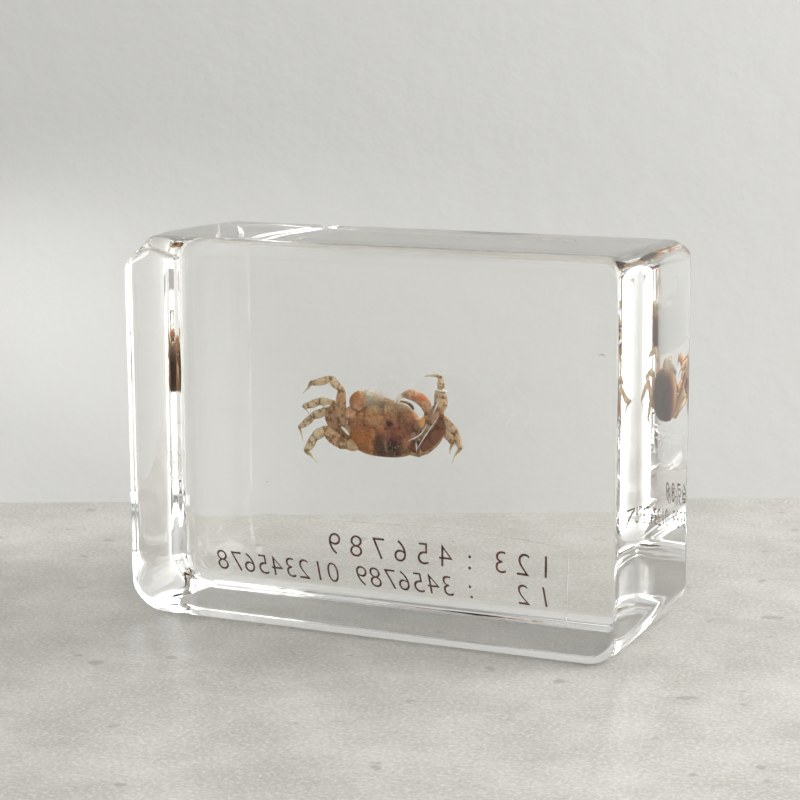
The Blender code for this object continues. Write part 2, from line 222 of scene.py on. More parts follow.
def addLimb(shape, points, width, thickness, profile, around=18, steps=20, rounding=0.07, **values):
    # a closed tube along a curve: half width and half thickness times a profile, with rounded ends
    rings = []
    for i in range(1, steps):
        share = 0.5 - 0.5 * math.cos(math.pi * i / steps)
        ends = min(1.0, min(share, 1 - share) / rounding)
        size = levelAt(profile, share) * math.sqrt(1 - (1 - ends) ** 2)
        middle = curvePoint(points, share)
        ahead = curvePoint(points, min(1, share + lookAhead))
        along = (ahead - curvePoint(points, max(0, share - lookAhead))).normalized()
        wide = along.cross(Vector((0, 1, 0)))
        wide = wide.normalized() if wide.length > 0.2 else Vector((1, 0, 0))  # else it runs along Y
        thin = wide.cross(along).normalized()
        ring, across = [], []
        for k in range(around):
            turn = 2 * math.pi * k / around
            c, s = math.cos(turn), math.sin(turn)
            square = (abs(c) ** limbSquareness + abs(s) ** limbSquareness) ** (-1 / limbSquareness)
            sideways = wide * width * size * c * square
            ring.append(tuple(middle + sideways + thin * thickness * size * s * square))
            across.append(c)
        rings.append(addPoints(shape, ring, across=across, along=share, **values))
    first = addPoints(shape, [tuple(curvePoint(points, 0))], along=0.0, **values)
    last = addPoints(shape, [tuple(curvePoint(points, 1))], along=1.0, **values)
    closeTube(shape, first, rings, last, around)


def addPillow(shape, centre, sizes, depths, squares=(2.0, 2.0), fullness=(2.5, 0.55), around=40, rings=12,
              relief=None, turn=0.0, **values):
    # a closed cushion: an outline in X and Z, with its own squareness upwards, downwards and, if a third is
    # given, up on the left, swollen towards -Y and +Y
    shares = [math.sin(math.pi / 2 * i / rings) for i in range(1, rings + 1)]
    levels = [(-1, s) for s in shares] + [(1, s) for s in reversed(shares[:-1])]
    turned = Matrix.Rotation(math.radians(turn), 3, "Y")

    def place(x, y, z):
        return tuple(turned @ Vector((x, y, z)) + Vector(centre))

    starts = []
    for side, share in levels:
        depth = depths[0] if side < 0 else depths[1]
        ring = []
        for k in range(around):
            angle = 2 * math.pi * (k + 0.5) / around
            c, s = math.cos(angle), math.sin(angle)
            upper = squares[2] if c < 0 and len(squares) > 2 else squares[0]
            power = 2 / (squares[1] if s <= 0 else upper)
            x = sizes[0] * math.copysign(abs(c) ** power, c) * share
            z = sizes[1] * math.copysign(abs(s) ** power, s) * share
            y = side * depth * (1 - share ** fullness[0]) ** fullness[1]
            if relief:
                y += side * relief(x, z, side) * (1 - share ** 8)
            ring.append(place(x, y, z))
        starts.append(addPoints(shape, ring, edge=share, **values))
    poles = []
    for side in (-1, 1):
        swell = side * depths[max(0, side)] + (side * relief(0, 0, side) if relief else 0)
        poles.append(addPoints(shape, [place(0, swell, 0)], edge=0.0, **values))
    closeTube(shape, poles[0], starts, poles[1], around)


# resin block

resinBlock = {
    "width": 76.8, "depth": 31.0, "height": 55.0,
    "corners": (5.0, 2.8, 4.6, 5.0),  # bottom right, top right, top left, bottom left
    # rims on the right, top, left and bottom: how far in over the face, how far along the side, and
    # the curve, where 2 is a quarter circle and 1 a straight chamfer
    "frontRims": ((0.8, 6.8, 2.0), (2.6, 2.6, 2.0), (8.6, 0.8, 1.95), (2.6, 2.6, 2.0)),
    "backRims": ((1.95, 0.8, 2.4), (3.2, 3.2, 2.0), (3.95, 4.75, 2.6), (2.6, 3.2, 2.0)),
    # the left face is gently crowned from front to back: radius, where it stands out most, and how far
    # in from it the faces next to it follow
    "crownRadius": 79.0, "crownPlace": 2.3, "crownFrom": 24.0, "crownUntil": 28.0,
    "leastCorner": 0.6,
    "draft": 0.5,   # how much the right side and the top draw in towards the back, to leave the mould
    "step": 1.5,    # distance between points along a straight edge
    "runEnd": 0.3,  # distance from a corner to the first point after it
    "sag": 0.9, "sagUntil": 4.0, "sagFade": 8.0,  # top left edge, lower at the front
    "waveHeight": 0.012, "waveLength": 16.0,      # slow waves that polishing leaves
    "flatBelow": 3.0,                             # the waves fade out towards the face that it stands on
    # where the top left rim was buffed by hand: the waves there, and the spot's middle and spread
    "rimWaveHeight": 0.1, "rimWaveLength": 7.0, "rimWaveShift": (7, 3, 1),
    "rimSpot": (-24.0, 10.0), "rimSpread": (11.0, 7.0, 4.0),
    # where the rings of the faces and the end rings of the sides lie
    "capShares": (0.02, 0.4, 0.8, 0.985), "sideEnd": 0.012,
}


def outlinePattern(arcSteps=10):
    # where the points of every ring lie: corner, turn along its arc, share of the straight run after it
    b = resinBlock
    pattern = []
    for corner in range(4):
        pattern += [(corner, i / arcSteps, 0.0) for i in range(arcSteps + 1)]
        length = b["width"] if corner % 2 else b["height"]
        count = round(length / b["step"])
        inner = [i / count for i in range(1, count)]
        runEnd = b["runEnd"] / length
        pattern += [(corner, 1.0, share) for share in (runEnd, *inner, 1 - runEnd)]
    return pattern


def outlinePoints(insets, pattern):
    # points and their outward directions (x, z, nx, nz), anticlockwise as seen from the front
    b = resinBlock
    right, top, left, bottom = insets
    ends = ((b["width"] / 2 - right, bottom, 1, -1), (b["width"] / 2 - right, b["height"] - top, 1, 1),
            (left - b["width"] / 2, b["height"] - top, -1, 1), (left - b["width"] / 2, bottom, -1, -1))

    def arcPoint(corner, turn):
        x, z, sx, sz = ends[corner]
        inset = max(right if sx > 0 else left, top if sz > 0 else bottom)
        radius = max(b["leastCorner"], b["corners"][corner] - inset)
        angle = math.radians(90 * (corner - 1 + turn))
        nx, nz = math.cos(angle), math.sin(angle)
        return Vector((x - sx * radius + radius * nx, z - sz * radius + radius * nz)), nx, nz

    points = []
    for corner, turn, share in pattern:
        place, nx, nz = arcPoint(corner, turn)
        if share:
            place = place.lerp(arcPoint((corner + 1) % 4, 0.0)[0], share)
        points.append((place.x, place.y, nx, nz))
    return points


def ofSides(values, nx, nz):
    # a value given for the right, top, left and bottom, blended for a direction between two of them
    return nx * nx * values[0 if nx > 0 else 2] + nz * nz * values[1 if nz > 0 else 3]


def resinPoint(x, y, z, outward=(0, 0, 0), nx=0.0, nz=0.0):
    # a point of the ideal block, drawn in towards the back and gently waved
    b = resinBlock
    low = b["frontRims"][0][1] - b["depth"] / 2
    drawn = max(0.0, y - low) / (b["depth"] / 2 - low)
    if x > 0:
        x *= 1 - drawn * b["draft"] / (b["width"] / 2)
    follow = max(0.0, min(1.0, (-x - b["crownFrom"]) / (b["crownUntil"] - b["crownFrom"])))
    x += follow * (y - b["crownPlace"]) ** 2 / (2 * b["crownRadius"])
    z *= 1 - drawn * b["draft"] / b["height"]
    place = Vector((x, y, z))
    wave = noise.noise(place / b["waveLength"]) * b["waveHeight"]
    (spotX, spotY), (wideX, wideY, wideZ) = b["rimSpot"], b["rimSpread"]
    off = ((x - spotX) / wideX) ** 2 + ((z - b["height"]) / wideZ) ** 2 + ((y - spotY) / wideY) ** 2
    rimWave = noise.noise(place / b["rimWaveLength"] + Vector(b["rimWaveShift"]))
    wave += rimWave * b["rimWaveHeight"] * math.exp(-off)
    if nx < 0 < nz:
        wave -= b["sag"] * (2 * abs(nx * nz)) ** 1.5 * ease((b["sagUntil"] - y) / b["sagFade"])
    if z < b["flatBelow"]:
        wave *= z / b["flatBelow"]
    return tuple(place + Vector(outward) * wave)


def makeResinBlock(rimSteps=14, sideSteps=30):
    b = resinBlock
    shape = newShape()
    pattern = outlinePattern()
    count = len(pattern)

    def rimRing(rims, facing, turn):
        # one ring of a rim, turned from the block's sides (0) towards its face (1)
        angle = math.radians(90 * turn)
        c, s = math.cos(angle), math.sin(angle)
        insets = [inset * (1 - c ** (2 / curve)) for inset, _, curve in rims]
        depths = [b["depth"] / 2 - reach * (1 - s ** (2 / curve)) for _, reach, curve in rims]
        ring = []
        for x, z, nx, nz in outlinePoints(insets, pattern):
            outward = (nx * c, facing * s, nz * c) if turn < 1 else (0, 0, 0)
            ring.append(resinPoint(x, facing * ofSides(depths, nx, nz), z, outward, nx, nz))
        return ring

    def sideRing(share):
        # one ring round the sides, between the two rims
        ring = []
        for x, z, nx, nz in outlinePoints((0, 0, 0, 0), pattern):
            front, back = [b["depth"] / 2 - ofSides([reach for _, reach, _ in rims], nx, nz)
                           for rims in (b["frontRims"], b["backRims"])]
            ring.append(resinPoint(x, -front + (front + back) * share, z, (nx, 0, nz), nx, nz))
        return ring

    def capRing(rims, facing, share):
        # one ring across a face, shrunk towards its middle line
        core = (b["width"] - b["height"]) / 2
        middle = b["height"] / 2
        ring = []
        for x, z, _, _ in outlinePoints([inset for inset, _, _ in rims], pattern):
            inner = max(-core, min(core, x))
            place = (inner + (x - inner) * share, facing * b["depth"] / 2, middle + (z - middle) * share)
            ring.append(resinPoint(*place))
        return ring

    turns = [i / rimSteps for i in range(rimSteps + 1)]
    sideShares = [b["sideEnd"]] + [i / sideSteps for i in range(1, sideSteps)] + [1 - b["sideEnd"]]
    rows = [capRing(b["frontRims"], -1, share) for share in b["capShares"]]
    rows += [rimRing(b["frontRims"], -1, turn) for turn in reversed(turns)]
    rows += [sideRing(share) for share in sideShares]
    rows += [rimRing(b["backRims"], 1, turn) for turn in turns]
    rows += [capRing(b["backRims"], 1, share) for share in reversed(b["capShares"])]
    rings = [addPoints(shape, row) for row in rows]
    bridgeAll(shape, rings, count)
    shape["faces"].append(tuple(range(rings[0] + count - 1, rings[0] - 1, -1)))
    shape["faces"].append(tuple(range(rings[-1], rings[-1] + count)))
    return shapeMesh("resinBlock", shape)


# cast polyester resin, sanded and buffed: as clear as water, with sharp reflections at every face
castResin, _, _ = newMaterial("polishedCastResin", Base_Color=toLinear("#FFFFFE"), Roughness=0.0,
                              IOR=1.5, Transmission_Weight=1.0)

print("resin block")
newPiece("resinBlock", makeResinBlock(), castResin, "clear_resin", "resin_front_layer", "resin_back_layer")


# printed film

printedFilm = {
    "centre": (0.5, -8.02, 9.9), "width": 58.0, "height": 10.6, "thickness": 0.12,
    "turn": 1.5,                     # its right end sits a little low
    "wave": 0.6, "waveLength": 9.0,  # of its top edge
    # the thin line of air at its cut edges: half width, and where it runs along the top to the right end
    "airWidth": 0.05, "airFrom": (-7.0, 0.0, 7.0, 14.0, 21.0),
    "inkDepth": 0.02, "inkGap": 0.03, "inkTurn": 0.3,
    # a digit's height as a share of the font's size, and how much finer than the font its strokes are
    "digitShare": 0.7, "finer": 0.02,
}
# plain digits in two rows, read from the back: height, level above the film's middle, places from the right
digitRows = (
    {"height": 3.2, "level": 2.35, "slant": 0.0, "characters": "123:456789",
     "places": (25.9, 22.6, 19.3, 14.7, 11.1, 7.7, 4.2, 0.8, -2.6, -6.0)},
    {"height": 2.9, "level": -1.85, "slant": 0.2, "characters": "12:3456789 012345678",
     "places": (25.8, 22.8, 14.9) + tuple(11.5 - 2.22 * i for i in range(17))},
)


def turnedPoint(x, z, degrees):
    # where a point of the film's plane, measured from its middle, lies in the block
    (cx, cy, cz), turn = printedFilm["centre"], math.radians(degrees)
    return cx + x * math.cos(turn) + z * math.sin(turn), cy, cz + z * math.cos(turn) - x * math.sin(turn)


def filmPoint(x, z):
    f = printedFilm
    z += f["wave"] * max(0.0, z / f["height"] * 2) * (1 + math.sin(x / f["waveLength"]))
    return turnedPoint(x, z, f["turn"])


def makeFilm(columns=58, rows=8):
    f = printedFilm
    shape = newShape()
    starts = []
    for side in (-1, 1):
        points = []
        for r in range(rows + 1):
            for c in range(columns + 1):
                x, y, z = filmPoint(f["width"] * (c / columns - 0.5), f["height"] * (r / rows - 0.5))
                points.append((x, y + side * f["thickness"] / 2, z))
        starts.append(addPoints(shape, points))
    wide = columns + 1
    front, back = starts
    for r in range(rows):
        for c in range(columns):
            a = r * wide + c
            shape["faces"].append((front + a, front + a + 1, front + a + wide + 1, front + a + wide))
            shape["faces"].append((back + a, back + a + wide, back + a + wide + 1, back + a + 1))
    edge = list(range(wide)) + [r * wide + columns for r in range(1, rows + 1)]
    edge += [rows * wide + c for c in range(columns - 1, -1, -1)]
    edge += [r * wide for r in range(rows - 1, 0, -1)]
    for i, a in enumerate(edge):
        b = edge[(i + 1) % len(edge)]
        shape["faces"].append((front + a, back + a, back + b, front + b))
    return shapeMesh("printedFilm", shape)


def makeFilmEdge():
    # thin lines of air along the cut edges that show: most of the top one, and the right one
    f = printedFilm
    end, high = f["width"] / 2, f["height"] / 2
    shape = newShape()
    top = [filmPoint(x, high) for x in (*f["airFrom"], end)]
    right = [filmPoint(end, z) for z in (high, 0.0, -high)]
    for points in (top, right):
        addLimb(shape, points, f["airWidth"], f["airWidth"], ((0, 1), (1, 1)), around=8, steps=50,
                rounding=0.02)
    return shapeMesh("filmEdge", shape)


def characterMesh(character, height, slant):
    # one printed character as a thin plate, its middle on the origin
    curve = bpy.data.curves.new("character", "FONT")
    curve.body = character
    curve.size = height * mm / printedFilm["digitShare"]
    curve.shear = slant
    curve.offset = -height * mm * printedFilm["finer"]
    curve.extrude = printedFilm["inkDepth"] * mm / 2
    curve.resolution_u = 6
    helper = bpy.data.objects.new("character", curve)
    mesh = bpy.data.meshes.new_from_object(helper)
    bpy.data.objects.remove(helper, do_unlink=True)
    xs = [v.co.x for v in mesh.vertices]
    mesh.transform(Matrix.Translation((-(min(xs) + max(xs)) / 2, -height * mm / 2, 0)))
    return mesh


def makeDigits():
    f = printedFilm
    joined = bmesh.new()
    faceBack = Matrix(((-1, 0, 0, 0), (0, 0, 1, 0), (0, 1, 0, 0), (0, 0, 0, 1)))
    turn = Matrix.Rotation(math.radians(f["inkTurn"]), 4, "Y")
    for row in digitRows:
        for x, character in zip(row["places"], row["characters"]):
            if character == " ":
                continue
            mesh = characterMesh(character, row["height"], row["slant"])
            px, py, pz = turnedPoint(x, row["level"], f["inkTurn"])
            place = Vector((px, py - f["thickness"] / 2 - f["inkGap"], pz)) * mm
            mesh.transform(Matrix.Translation(place) @ turn @ faceBack)
            joined.from_mesh(mesh)
            bpy.data.meshes.remove(mesh)
    bmesh.ops.remove_doubles(joined, verts=joined.verts, dist=1e-7)
    bmesh.ops.recalc_face_normals(joined, faces=joined.faces)
    mesh = bpy.data.meshes.new("printedDigits")
    joined.to_mesh(mesh)
    joined.free()
    return mesh


# acetate sheet wetted out in the resin: its index is so close that only its cut edges show
acetate, _, _ = newMaterial("clearAcetateFilm", Base_Color=toLinear("#FFFFFF"), Roughness=0.0, IOR=1.001,
                            Transmission_Weight=1.0)

# laser print, a little faded to sepia: dull strokes with soft uneven ink
sepiaPrint, tree, shader = newMaterial("sepiaLaserPrint", Roughness=0.7, IOR=1.1)
ink = speckle(tree, objectCoords(tree), 1800.0)
paint(tree, shader, tints(tree, "#44241F", (ink, 0.35, 0.65, 1.0, "#7C5046")))

# trapped air: a sliver where the resin didn't wet a surface, painted near white as its silvery glint
airGlintFinish, tree, shader = newMaterial("airFilmPaintedGlint", Roughness=0.3, IOR=1.2)
paint(tree, shader, mixColours(tree, speckle(tree, objectCoords(tree), 3000.0, 2.0), "#F8F6F0", "#FFFFFF"))

# trapped dust: a grey brown fibre and two specks
trappedDust, tree, shader = newMaterial("trappedDust", Roughness=0.7, IOR=1.1)
paint(tree, shader, mixColours(tree, speckle(tree, objectCoords(tree), 4000.0, 2.0), "#6E665C", "#A8A296"))

# middle lines of the fibre and the specks, with their half widths
dust = ((((31.7, 0.0, 40.6), (32.2, 0.1, 40.75), (32.8, 0.0, 40.55)), 0.05),
        (((-18.9, 0.0, 19.0), (-18.7, 0.0, 19.05)), 0.1), (((10.45, 0.0, 13.0), (10.6, 0.0, 13.0)), 0.08))


def makeDust():
    shape = newShape()
    for points, width in dust:
        addLimb(shape, points, width, width, ((0, 0.6), (0.5, 1.0), (1, 0.6)), around=8, steps=12,
                rounding=0.2)
    return shapeMesh("trappedDust", shape)


print("printed film")
newPiece("trappedDust", makeDust(), trappedDust, "crab_shell")
newPiece("printedFilm", makeFilm(), acetate, "label_film", "label_film")
# the film's cut edges are drawn as air lines in the near-white painted-glint finish
newPiece("filmEdge", makeFilmEdge(), airGlintFinish, "label_film", "label_film")
newPiece("printedDigits", makeDigits(), sepiaPrint, "label_film", "label_film")


# crab, in mm from the middle of its body: its belly faces -Y and its front edge faces up

crabPlace = (0.7, -2.2, 28.6)
crabBody = {
    "halfWidth": 5.75, "halfLength": 4.1, "bellyDepth": 2.45, "backDome": 3.05,
    "squares": (2.15, 2.7, 3.2),  # front right corner, rear corners, front left corner
    "fullness": (2.3, 0.52),
    "granuleSize": 0.42, "granuleHeight": 0.05, "granuleSpread": 0.35, "bellyGranules": 0.5,
    "waveHeight": 0.07, "waveScale": 0.9,
    # grooves on the right half, mirrored: start, end, half width, depth
    "bellyGrooves": (((0.9, -0.6), (3.3, -0.2), 0.13, 0.14), ((1.2, -1.3), (3.6, -1.0), 0.13, 0.14),
                     ((1.5, -2.0), (3.7, -1.8), 0.13, 0.14), ((1.8, -2.7), (3.3, -2.7), 0.13, 0.12),
                     ((0.1, 0.1), (2.8, 0.4), 0.2, 0.3), ((2.7, 0.4), (2.8, 3.4), 0.2, 0.35),
                     ((2.9, 1.9), (5.4, 2.2), 0.16, 0.15)),
    "backGrooves": (((0.9, 2.9), (1.9, 0.8), 0.2, 0.16), ((1.9, 0.8), (1.3, -0.9), 0.22, 0.22),
                    ((0.0, 0.1), (1.7, 0.3), 0.18, 0.14), ((1.9, 0.8), (4.9, 1.3), 0.2, 0.14),
                    ((1.3, -0.9), (2.0, -2.9), 0.2, 0.12)),
    # swellings on the right half: middle, half sizes, height
    "bellySwellings": (((4.0, 1.5), (1.0, 1.3), 0.32), ((4.2, -1.4), (0.9, 1.2), 0.18)),
    "backSwellings": (((3.4, -0.7), (1.7, 1.6), 0.26), ((0.0, 1.5), (1.2, 0.9), 0.18),
                      ((0.0, -1.5), (0.9, 0.8), 0.16), ((4.1, 2.2), (0.9, 0.7), 0.16)),
    "frontLobe": ((0, 1.0, 3.72), (0.62, 0.42), (0.42, 0.5), (3.0, 2.0)),  # between the eyes
    # tooth at the outer end of the left orbit, and the ridge below it
    "orbitTooth": ((-4.2, 0.5, 2.3), (-4.95, 0.45, 2.95), (-5.2, 0.35, 3.45)), "toothSize": (0.42, 0.34),
}
mouthPlates = {
    # ischium and merus on the right half, mirrored: middle, half sizes, depths
    "plates": (((1.32, -1.78, 1.15), (1.14, 1.0), (0.82, 0.7)),
               ((1.28, -1.62, 2.65), (1.08, 0.95), (0.78, 0.7))),
    "turn": 7, "roughness": 0.04,
    "palp": ((0.55, -2.0, 3.45), (0.85, -2.45, 3.1), (0.75, -2.5, 2.2)), "palpSize": (0.24, 0.2),
}
tailFlap = {
    # half width and length of each somite, from its base up
    "somites": ((2.05, 0.78), (1.85, 0.78), (1.58, 0.72), (1.26, 0.72), (0.92, 0.8), (0.58, 0.72)),
    "from": -3.75, "bed": 4.6, "lift": 0.05, "thickness": 0.07, "root": 0.25, "overlap": 1.1,
}
# eyestalks: the left one stands up among the setae, the right one is folded outwards
eyestalks = {"points": (((-0.6, 0.2, 3.5), (-1.1, -0.3, 4.1), (-1.5, -0.6, 4.7), (-1.7, -0.8, 5.1)),
                        ((0.7, 0.4, 3.6), (1.8, 0.1, 3.95), (3.1, -0.3, 4.0), (4.1, -0.6, 3.7),
                         (4.75, -0.8, 3.05))),
             "width": 0.18, "profile": ((0, 0.7), (0.35, 0.72), (0.62, 1.0), (0.85, 1.35), (1, 0.9))}


def crabMesh(name, build):
    shape = newShape()
    build(shape)
    return shapeMesh(name, shape, crabPlace)


def toSegment(x, z, start, end):
    # distance to the nearest point of a straight line
    ax, az = end[0] - start[0], end[1] - start[1]
    share = max(0.0, min(1.0, ((x - start[0]) * ax + (z - start[1]) * az) / (ax * ax + az * az)))
    return math.hypot(x - start[0] - ax * share, z - start[1] - az * share)


def shellRelief(x, z, side):
    # grooves, swellings and granules of the carapace and the underside
    b = crabBody
    face = "belly" if side < 0 else "back"
    height = 0.0
    for start, end, width, depth in b[face + "Grooves"]:
        height -= depth * math.exp(-(toSegment(abs(x), z, start, end) / width) ** 2)
    for middle, sizes, lift in b[face + "Swellings"]:
        off = ((abs(x) - middle[0]) / sizes[0]) ** 2 + ((z - middle[1]) / sizes[1]) ** 2
        height += lift * math.exp(-off)
    distances, _ = noise.voronoi(Vector((x, z, side * 7)) / b["granuleSize"])
    share = 1.0 if side > 0 else b["bellyGranules"]
    height += b["granuleHeight"] * math.exp(-(distances[0] / b["granuleSpread"]) ** 2) * share
    return height + b["waveHeight"] * noise.noise(Vector((x, z, side * 3)) * b["waveScale"])


def addCrabBody(shape):
    b = crabBody
    addPillow(shape, (0, 0, 0), (b["halfWidth"], b["halfLength"]), (b["bellyDepth"], b["backDome"]),
              b["squares"], b["fullness"], around=190, rings=56, relief=shellRelief)
    addPillow(shape, *b["frontLobe"])
    addLimb(shape, b["orbitTooth"], *b["toothSize"], ((0, 1), (0.5, 0.9), (1, 0.35)), around=12, steps=10)


def plateRelief(x, z, side):
    return mouthPlates["roughness"] * noise.noise(Vector((x, z, 4)) * 3)


def addMouthParts(shape):
    m = mouthPlates
    for side in (-1, 1):
        for (x, y, z), sizes, depths in m["plates"]:
            addPillow(shape, (side * x, y, z), sizes, depths, (2.8, 2.8), (2.4, 0.5), around=44, rings=14,
                      relief=plateRelief, turn=side * m["turn"], hair=0.8, hairLength=0.55)
        palp = [(side * x, y, z) for x, y, z in m["palp"]]
        addLimb(shape, palp, *m["palpSize"], ((0, 0.8), (0.5, 1), (1, 0.5)), around=12, steps=12, hair=1.0,
                hairLength=1.0)


def addTailFlap(shape):
    t = tailFlap
    depths = (t["thickness"], t["thickness"] + t["root"])
    level = t["from"]
    for halfWidth, length in t["somites"]:
        middle = level + length / 2
        bed = -crabBody["bellyDepth"] * math.sqrt(1 - (middle / t["bed"]) ** 2)
        addPillow(shape, (0, bed - t["lift"], middle), (halfWidth, length / 2 * t["overlap"]), depths,
                  (5.0, 5.0), (4.0, 0.5), around=48, rings=8)
        level += length


def addEyes(shape):
    e = eyestalks
    for points in e["points"]:
        addLimb(shape, points, e["width"], e["width"], e["profile"], around=16, steps=26, rounding=0.06)


# each walking leg: hip, start of the long joint, knee, wrist, ankle and claw tip; how broad each of its
# joints is against the usual; tone 0 is tan, 1 is dark red brown
legRoutes = {
    "left1": {"tone": 0.15, "joints": (
        (-4.0, -0.6, -0.8), (-6.1, -1.1, -0.3), (-6.2, -1.3, 5.2),
        (-7.9, -1.2, 6.7), (-11.2, -1.2, 5.8), (-12.5, -1.0, 4.2))},
    "left2": {"tone": 0.3, "joints": (
        (-4.2, -0.4, -1.3), (-6.9, -0.3, -0.9), (-7.8, -0.4, 3.1),
        (-9.9, -0.5, 3.3), (-12.5, -0.6, 2.3), (-11.5, -0.8, 1.1))},
    "left3": {"tone": 0.1, "joints": (
        (-4.3, 0.0, -1.8), (-7.2, 0.6, -1.5), (-9.2, 0.7, 2.1),
        (-11.4, 0.6, 0.9), (-13.6, 0.5, -0.9), (-13.0, 0.2, -2.8))},
    "left4": {"tone": 0.0, "breadths": (1.2,) * 5, "joints": (
        (-3.9, -0.9, -2.4), (-5.5, -1.0, -2.8), (-9.1, -1.0, -0.6),
        (-10.7, -1.1, -1.8), (-12.1, -1.2, -4.1), (-10.1, -1.3, -5.7))},
    "right1": {"tone": 0.45, "breadths": (1.0, 1.0, 1.45, 0.95, 1.0), "joints": (
        (4.0, -0.7, -0.7), (5.7, -1.7, -0.7), (8.9, -3.0, 4.1),
        (9.5, -3.4, 6.3), (9.5, -3.7, 8.3), (7.2, -3.9, 8.2))},
    "right2": {"tone": 0.75, "joints": (
        (4.2, -0.4, -1.3), (5.4, -0.9, -1.7), (9.2, -1.9, 3.2),
        (9.5, -2.0, 5.5), (9.3, 0.3, 4.2), (8.9, 1.6, 3.0))},
    "right3": {"tone": 1.0, "joints": (
        (4.3, -1.1, -1.9), (5.9, -1.7, -2.5), (10.0, -2.5, 2.3),
        (11.7, -2.8, 0.5), (12.4, -3.0, -1.6), (11.1, -3.2, -3.9))},
    "right4": {"tone": 0.15, "joints": (
        (3.9, -0.2, -2.5), (5.4, -0.5, -3.1), (9.2, -0.9, 0.9),
        (10.5, -1.2, -0.6), (10.1, 0.8, -1.6), (9.5, 1.7, -3.2))},
}
# hip, long joint, wrist joint, hand joint and claw: half width, half thickness, bend, how much of the leg's
# tone it takes, how hairy it is, and profile
legJoints = (
    {"width": 0.78, "thickness": 0.62, "bend": 0.0, "toneShare": 1.0, "hair": 0.12,
     "profile": ((0, 0.9), (0.5, 1.0), (1, 0.75))},
    {"width": 0.84, "thickness": 0.42, "bend": 0.06, "toneShare": 1.0, "hair": 0.5,
     "profile": ((0, 0.6), (0.25, 0.95), (0.6, 1.0), (0.9, 0.78), (1, 0.7))},
    {"width": 0.64, "thickness": 0.42, "bend": 0.06, "toneShare": 0.3, "hair": 0.5,
     "profile": ((0, 0.62), (0.6, 1.0), (1, 0.85))},
    {"width": 0.56, "thickness": 0.36, "bend": 0.04, "toneShare": 0.3, "hair": 0.5,
     "profile": ((0, 0.8), (0.4, 1.0), (0.9, 0.68), (1, 0.6))},
    {"width": 0.23, "thickness": 0.17, "bend": 0.07, "toneShare": 0.3, "hair": 0.12,
     "profile": ((0, 1.0), (0.3, 0.95), (0.75, 0.5), (1, 0.22))},
)
legOverlap = 0.12  # how far a joint runs on into the next one

# for each joint of an arm and its palm: middle line, half width, half thickness and what is left at its end
clawArms = {
    "left": (
        {"points": ((-3.0, -1.2, 0.7), (-4.0, -1.5, 1.1), (-4.5, -1.8, 1.7)),
         "width": 0.8, "thickness": 0.75, "end": 0.7},
        {"points": ((-4.8, -2.05, 1.0), (-4.7, -2.2, 1.9), (-4.3, -2.35, 2.9)),
         "width": 0.95, "thickness": 0.8, "end": 0.7},
        {"points": ((-3.9, -2.25, 2.6), (-3.35, -2.5, 4.1), (-2.0, -2.8, 4.8)),
         "width": 1.16, "thickness": 0.85, "end": 0.5}),
    "right": (
        {"points": ((5.0, -1.2, 0.5), (6.2, -1.8, 1.2), (7.0, -2.0, 2.2)),
         "width": 0.72, "thickness": 0.75, "end": 0.7},
        {"points": ((6.9, -1.95, 2.0), (7.35, -2.2, 2.9), (7.4, -2.3, 3.6)),
         "width": 0.6, "thickness": 0.7, "end": 0.7},
        {"points": ((7.15, -2.3, 2.9), (6.85, -2.45, 4.3), (5.2, -2.65, 5.3), (3.4, -2.75, 5.3)),
         "width": 0.86, "thickness": 0.7, "end": 0.5}),
}
# fixed and moving finger of the left claw, then of the right one
clawFingers = {
    "points": (((-2.6, -2.8, 5.0), (-1.6, -3.0, 5.5), (-0.7, -3.2, 5.4)),
               ((-2.4, -2.9, 4.8), (-1.6, -3.3, 5.05), (-0.9, -3.4, 5.1)),
               ((3.9, -2.7, 5.4), (3.1, -2.95, 5.15), (2.5, -3.05, 4.2)),
               ((3.9, -2.85, 5.15), (3.35, -3.05, 4.8), (2.95, -3.15, 4.1))),
    "width": 0.22, "thickness": 0.18, "profile": ((0, 1.0), (0.5, 0.85), (0.85, 0.6), (1, 0.4)),
}

# the soft skin between the hard joints: its size as a share of the joint's, wider at the ankle
jointMembranes = {
    "share": 0.64, "ankle": 1.5, "depth": 0.8,
    "gaping": {("left3", 3): 1.5},  # a joint that gapes and shows its pale membrane
    # near-white pads beside the joints, painted glints where light catches the gaps there: middle, half
    # length and half width, turn in degrees
    "pads": (((-5.6, -1.7, -0.6), (0.85, 0.22), 42), ((9.55, -3.55, 6.35), (0.98, 0.17), 3),
             ((-8.75, -0.95, 2.6), (0.5, 0.2), -20)),
    "padDepth": 0.3,
}


def bowed(start, end, bend):
    # the three points of a joint that bows a little outwards
    middle = [(p + q) / 2 for p, q in zip(start, end)]
    dx, dz = end[0] - start[0], end[2] - start[2]
    side = 1 if start[0] > 0 else -1
    return (start, (middle[0] + side * dz * bend, middle[1], middle[2] - side * dx * bend), end)


def addLegs(shape):
    for leg in legRoutes.values():
        joints = leg["joints"]
        breadths = leg.get("breadths", (1.0,) * 5)
        for index, (start, end) in enumerate(zip(joints, joints[1:])):
            form = legJoints[index]
            step = Vector(end) - Vector(start)
            reach = step.normalized() * legOverlap
            first = tuple(Vector(start) - reach)
            last = tuple(Vector(end) + (reach if index < 4 else Vector()))  # a claw ends at its tip
            addLimb(shape, bowed(first, last, form["bend"]), form["width"] * breadths[index],
                    form["thickness"], form["profile"], rounding=0.1, steps=22, joint=float(index),
                    tone=leg["tone"] * form["toneShare"], hair=form["hair"], hairLength=0.6)


def addClaws(shape):
    f = clawFingers
    for joints in clawArms.values():
        for index, joint in enumerate(joints):
            profile = ((0, 0.75), (0.4, 1.0), (0.7, 0.9), (1, joint["end"]))
            addLimb(shape, joint["points"], joint["width"], joint["thickness"], profile, rounding=0.16,
                    steps=24, around=24, joint=float(index))
    for points in f["points"]:
        addLimb(shape, points, f["width"], f["thickness"], f["profile"], around=14, steps=18,
                rounding=0.08, joint=3.0)


